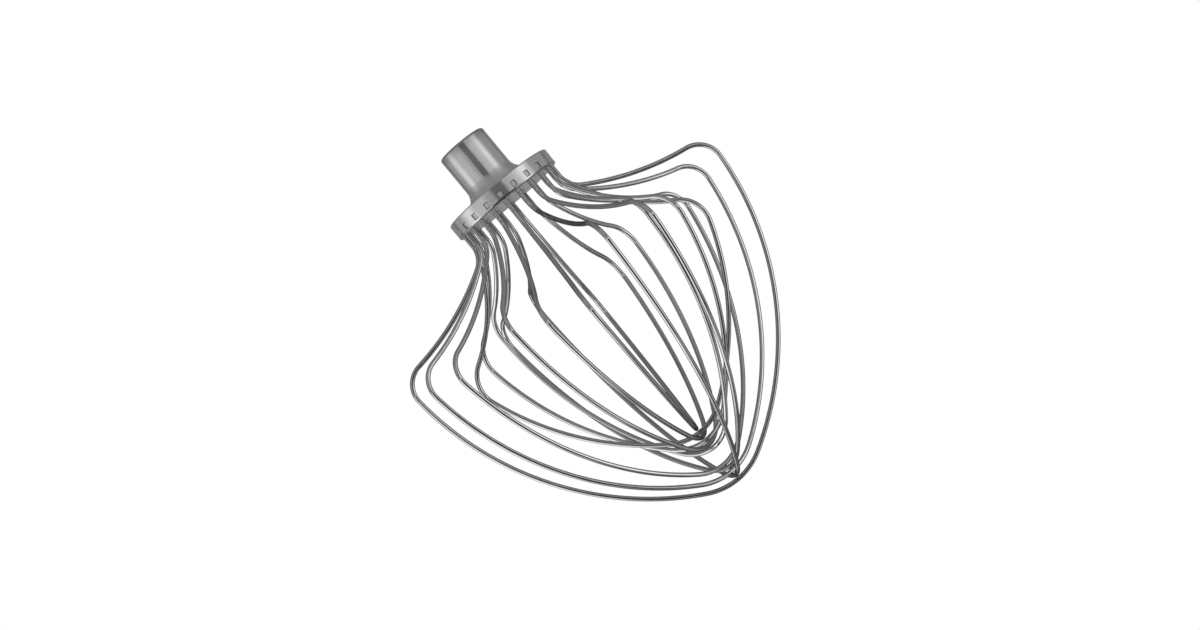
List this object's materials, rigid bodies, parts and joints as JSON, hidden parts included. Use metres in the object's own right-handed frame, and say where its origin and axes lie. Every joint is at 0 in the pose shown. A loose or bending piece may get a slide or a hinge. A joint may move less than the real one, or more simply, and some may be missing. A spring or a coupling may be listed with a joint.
{
  "type": "stand mixer wire whisk",
  "caption": "Balloon wire whisk for a planetary stand mixer: nested bent-wire loops staked into a round flanged hub with a bayonet shaft bore.",
  "frame": {"origin": "centre of the shaft bore's mouth, on the stem's top face", "axes": "+Z along the bore, out of its mouth and away from the wire cage; -Y is the direction of one socket"},
  "size_m": [0.1786, 0.1704, 0.1989],
  "materials": {
    "hub_steel": "satin turned stainless steel",
    "wire_steel": "drawn and electropolished stainless wire"
  },
  "bodies": {
    "root": {"hub": "hub_steel", "wire_large_1": "wire_steel", "wire_large_2": "wire_steel", "wire_large_3": "wire_steel", "wire_large_4": "wire_steel", "wire_large_5": "wire_steel", "wire_small_1": "wire_steel", "wire_small_2": "wire_steel", "wire_small_3": "wire_steel", "wire_small_4": "wire_steel", "wire_small_5": "wire_steel", "wire_small_6": "wire_steel"}
  },
  "joints": []
}
